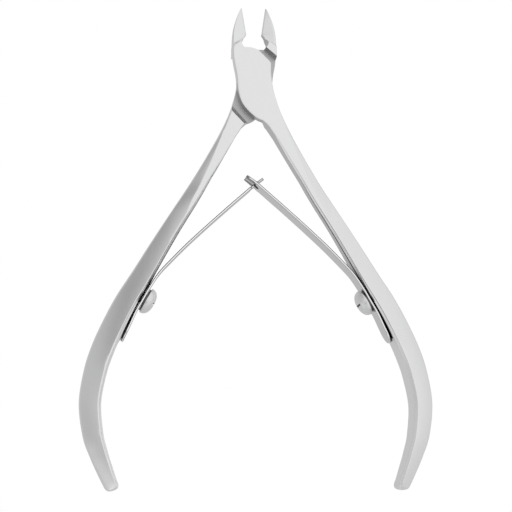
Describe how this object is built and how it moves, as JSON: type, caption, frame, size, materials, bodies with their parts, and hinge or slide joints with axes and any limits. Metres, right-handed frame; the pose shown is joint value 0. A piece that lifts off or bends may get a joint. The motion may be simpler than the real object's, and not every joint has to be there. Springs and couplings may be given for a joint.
{
  "type": "cuticle nipper",
  "caption": "Lap-jointed steel cuticle nipper with short curved cutting jaws, flared grips and crossed leaf springs that hold it open.",
  "frame": {"origin": "where the pivot axis meets the flat front face of the joint", "axes": "+Z towards the jaws along the tool's centre line, +X to the right seen from the front, +Y towards the rear along the pivot axis"},
  "size_m": [0.0748, 0.0074, 0.1036],
  "materials": {
    "forged_steel": "satin polished stainless steel",
    "rivet_steel": "ground flush stainless steel",
    "spring_steel": "rolled spring steel, fine grain along the strip",
    "screw_steel": "turned and polished steel"
  },
  "bodies": {
    "front_lever": {"front_lever": "forged_steel", "pivot_rivet": "rivet_steel", "front_spring_screw": "screw_steel"},
    "rear_lever": {"rear_lever": "forged_steel", "rear_spring_screw": "screw_steel"},
    "front_spring": {"front_leaf_spring": "spring_steel"},
    "rear_spring": {"rear_leaf_spring": "spring_steel"}
  },
  "joints": [
    {"name": "handle_pivot", "type": "hinge", "parent": "front_lever", "child": "rear_lever", "pos_m": [0, 0.0021, 0], "axis": [0, -1, 0], "range_deg": [0, 17.8], "stiffness_Nm_per_rad": 0.3},
    {"name": "front_spring_flex", "type": "hinge", "parent": "front_lever", "child": "front_spring", "pos_m": [0.0186, 0.0021, -0.0396], "axis": [0, 1, 0], "range_deg": [0, 10], "deforming": ["front_leaf_spring"]},
    {"name": "rear_spring_flex", "type": "hinge", "parent": "rear_lever", "child": "rear_spring", "pos_m": [-0.0186, 0.0021, -0.0396], "axis": [0, -1, 0], "range_deg": [0, 10], "deforming": ["rear_leaf_spring"]}
  ],
  "couplings": [
    {"joint": "front_spring_flex", "follows": "handle_pivot", "ratio": 0.545},
    {"joint": "rear_spring_flex", "follows": "handle_pivot", "ratio": 0.545}
  ]
}
